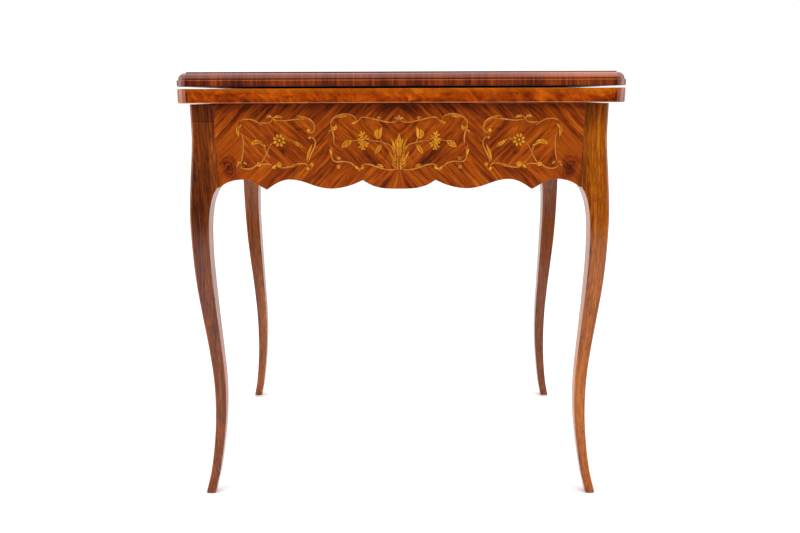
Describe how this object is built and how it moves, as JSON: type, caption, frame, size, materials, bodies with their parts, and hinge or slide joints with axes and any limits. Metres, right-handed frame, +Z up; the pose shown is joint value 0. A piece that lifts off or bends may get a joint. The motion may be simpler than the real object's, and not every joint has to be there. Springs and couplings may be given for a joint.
{
  "type": "card table",
  "caption": "Small rectangular card table on slender cabriole legs, with scalloped inlaid aprons and a two-leaf top that turns a quarter turn and folds open to a baize playing surface.",
  "frame": {"origin": "on the floor under the middle of the four legs, the feet standing on Z = 0", "axes": "+X to the right and -Y to the front, as a person facing the long inlaid apron sees it; +Z up"},
  "size_m": [0.742, 0.5022, 0.762],
  "materials": {
    "walnut_leg": "French-polished walnut",
    "secondary_wood": "bare, lightly stained softwood",
    "marquetry_veneer": "polished chevron-laid veneer with pale inlay",
    "burl_edge": "high-gloss figured veneer",
    "cross_grained_moulding": "high-gloss cross-grained veneer",
    "crossband_veneer": "polished cross-grained veneer",
    "top_veneer": "high-gloss quartered veneer",
    "green_baize": "short-napped wool baize",
    "well_lining": "dull felt",
    "steel": "plain, slightly dulled",
    "brass": "polished, a little aged"
  },
  "bodies": {
    "frame": {"apron_back": "secondary_wood", "apron_front": "secondary_wood", "apron_left": "secondary_wood", "apron_right": "secondary_wood", "glue_block_back_left": "secondary_wood", "glue_block_back_right": "secondary_wood", "glue_block_front_left": "secondary_wood", "glue_block_front_right": "secondary_wood", "leg_back_left": "walnut_leg", "leg_back_right": "walnut_leg", "leg_front_left": "walnut_leg", "leg_front_right": "walnut_leg", "pivot_bush": "brass", "pivot_rail": "secondary_wood", "runner_back": "green_baize", "runner_front": "green_baize", "veneer_back": "marquetry_veneer", "veneer_front": "marquetry_veneer", "veneer_left": "marquetry_veneer", "veneer_right": "marquetry_veneer", "well_divider": "secondary_wood", "well_floor": "secondary_wood", "well_lining": "well_lining"},
    "lower_leaf": {"hinge_left_lower": "brass", "hinge_left_lower_screw_1": "brass", "hinge_left_lower_screw_2": "brass", "hinge_left_pin": "brass", "hinge_right_lower": "brass", "hinge_right_lower_screw_1": "brass", "hinge_right_lower_screw_2": "brass", "hinge_right_pin": "brass", "lower_baize": "green_baize", "lower_core": "secondary_wood", "lower_crossband": "crossband_veneer", "lower_lipping_back": "burl_edge", "lower_lipping_front": "burl_edge", "lower_lipping_left": "burl_edge", "lower_lipping_right": "burl_edge", "pivot_bolt": "steel", "pivot_plate": "steel", "pivot_plate_screw_1": "steel", "pivot_plate_screw_2": "steel", "pivot_washer": "steel", "pivot_wing_nut": "brass", "stop_block": "secondary_wood"},
    "upper_leaf": {"hinge_left_upper": "brass", "hinge_left_upper_screw_1": "brass", "hinge_left_upper_screw_2": "brass", "hinge_right_upper": "brass", "hinge_right_upper_screw_1": "brass", "hinge_right_upper_screw_2": "brass", "upper_baize": "green_baize", "upper_core": "secondary_wood", "upper_crossband": "crossband_veneer", "upper_moulding_back": "cross_grained_moulding", "upper_moulding_front": "cross_grained_moulding", "upper_moulding_left": "cross_grained_moulding", "upper_moulding_right": "cross_grained_moulding", "upper_panel": "top_veneer"}
  },
  "joints": [
    {"name": "top_swivel", "type": "hinge", "parent": "frame", "child": "lower_leaf", "pos_m": [0.12625, 0.12275, 0.7115], "axis": [0, 0, 1], "range_deg": [0, 90]},
    {"name": "leaf_fold", "type": "hinge", "parent": "lower_leaf", "child": "upper_leaf", "pos_m": [0.0035, 0.249, 0.73675], "axis": [-1, 0, 0], "range_deg": [0, 180]}
  ]
}
